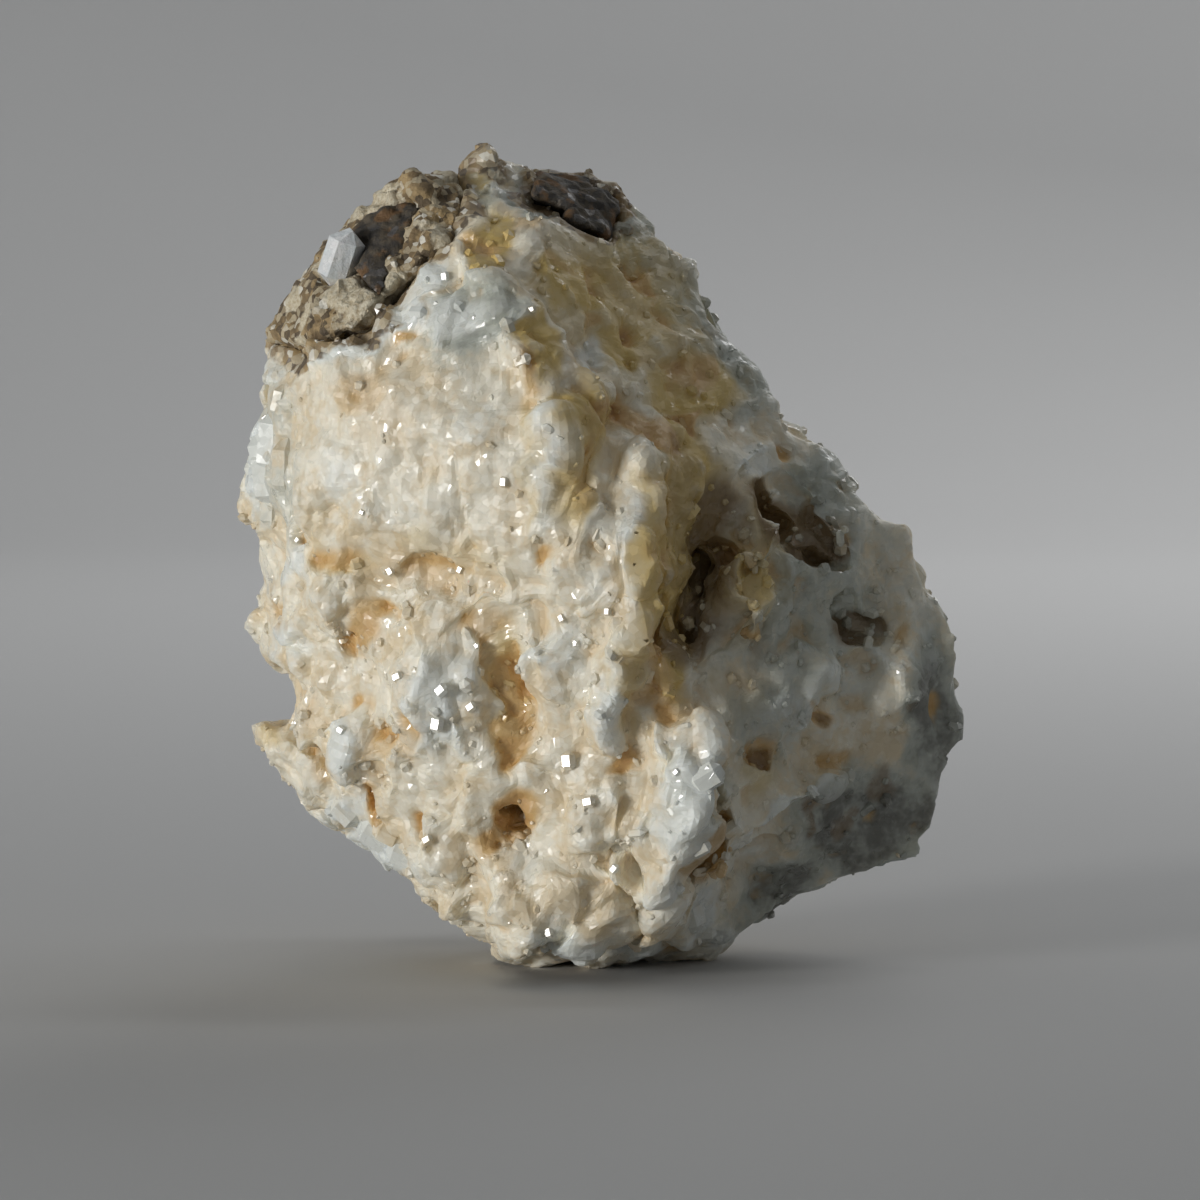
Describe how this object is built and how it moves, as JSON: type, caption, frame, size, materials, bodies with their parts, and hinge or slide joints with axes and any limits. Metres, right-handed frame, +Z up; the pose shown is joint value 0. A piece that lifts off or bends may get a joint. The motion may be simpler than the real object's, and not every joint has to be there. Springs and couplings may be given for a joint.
{
  "type": "anglesite specimen",
  "caption": "Free-standing mineral specimen: a pale, pitted wedge of grown-together lead sulphate crystals with dark ore on its crest, resting on a small flat break.",
  "frame": {"origin": "on the surface it rests on, under the middle of the specimen's box", "axes": "+Z up, +X to the right of the broad pale face, -Y towards the viewer of the front"},
  "size_m": [0.0528, 0.0402, 0.0596],
  "materials": {
    "anglesite": "waxy, granular, with glassy crystal faces",
    "gossan": "dull, granular, earthy",
    "galena": "tarnished, dark, with small bright cleavage steps",
    "clear_crystal": "glassy, milky inside"
  },
  "bodies": {
    "root": {"anglesite_mass": "anglesite", "ore_matrix": "gossan", "galena_shoulder_grain": "galena", "galena_crest_grain": "galena", "clear_crystal": "clear_crystal"}
  },
  "joints": []
}
